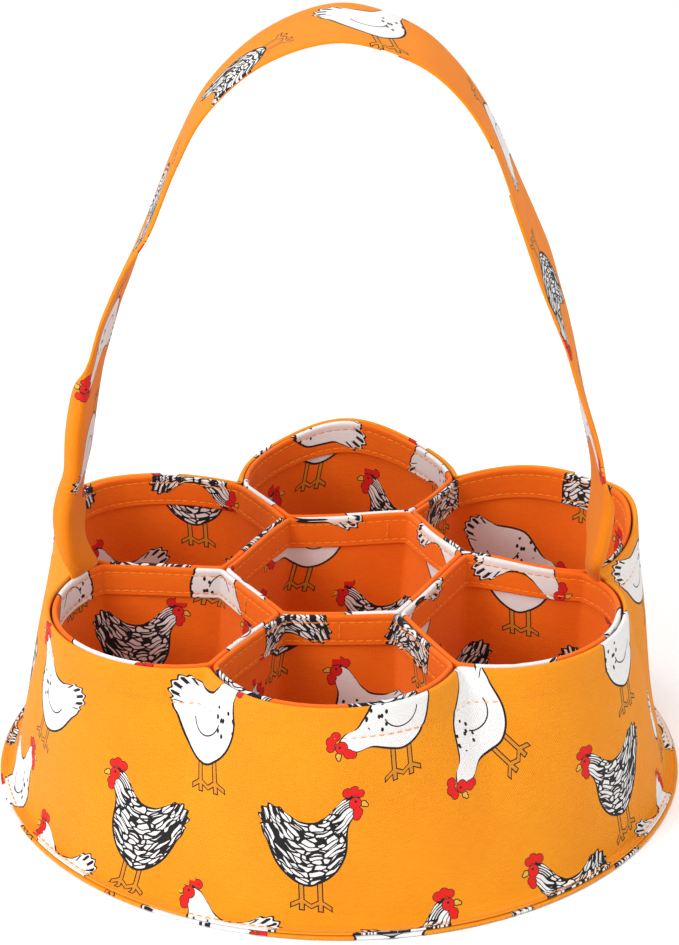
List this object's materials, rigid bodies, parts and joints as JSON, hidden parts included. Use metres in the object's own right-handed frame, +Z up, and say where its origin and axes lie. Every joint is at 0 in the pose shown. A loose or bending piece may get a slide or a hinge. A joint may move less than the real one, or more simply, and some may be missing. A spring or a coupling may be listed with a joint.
{
  "type": "egg collection basket",
  "caption": "Soft canvas egg basket: hexagonal cloth pockets side by side inside a flared lobed wall on a flat round base, with a strap handle arched over the top.",
  "frame": {"origin": "centre of the underside, on the ground", "axes": "+Z up, -Y towards the front, the handle's two ends on the X axis"},
  "size_m": [0.2136, 0.2136, 0.24],
  "materials": {
    "printed_canvas": "matt orange canvas printed with hens in white, black and red",
    "pocket_canvas": "matt orange canvas printed with hens in white, black and red",
    "strap_canvas": "matt orange canvas printed with hens in white, black and red",
    "thread": "orange polyester sewing thread",
    "stiffener": "white needle felt"
  },
  "bodies": {
    "basket": {"base_panel": "printed_canvas", "base_stiffener": "stiffener", "base_thread": "thread", "floor_panel": "pocket_canvas", "handle_end_left": "strap_canvas", "handle_end_right": "strap_canvas", "handle_tack_left": "thread", "handle_tack_right": "thread", "junction_threads": "thread", "outer_wall": "printed_canvas", "pocket_back": "pocket_canvas", "pocket_back_hem_thread": "thread", "pocket_back_left": "pocket_canvas", "pocket_back_left_hem_thread": "thread", "pocket_back_right": "pocket_canvas", "pocket_back_right_hem_thread": "thread", "pocket_centre": "pocket_canvas", "pocket_centre_hem_thread": "thread", "pocket_foot_threads": "thread", "pocket_front": "pocket_canvas", "pocket_front_hem_thread": "thread", "pocket_front_left": "pocket_canvas", "pocket_front_left_hem_thread": "thread", "pocket_front_right": "pocket_canvas", "pocket_front_right_hem_thread": "thread", "pocket_seam_threads": "thread", "wall_hem_thread": "thread"},
    "handle": {"handle_strap": "strap_canvas"}
  },
  "joints": [
    {"name": "handle_swing", "type": "hinge", "parent": "basket", "child": "handle", "pos_m": [0, 0, 0.084], "axis": [1, 0, 0], "range_deg": [-90, 90]}
  ]
}
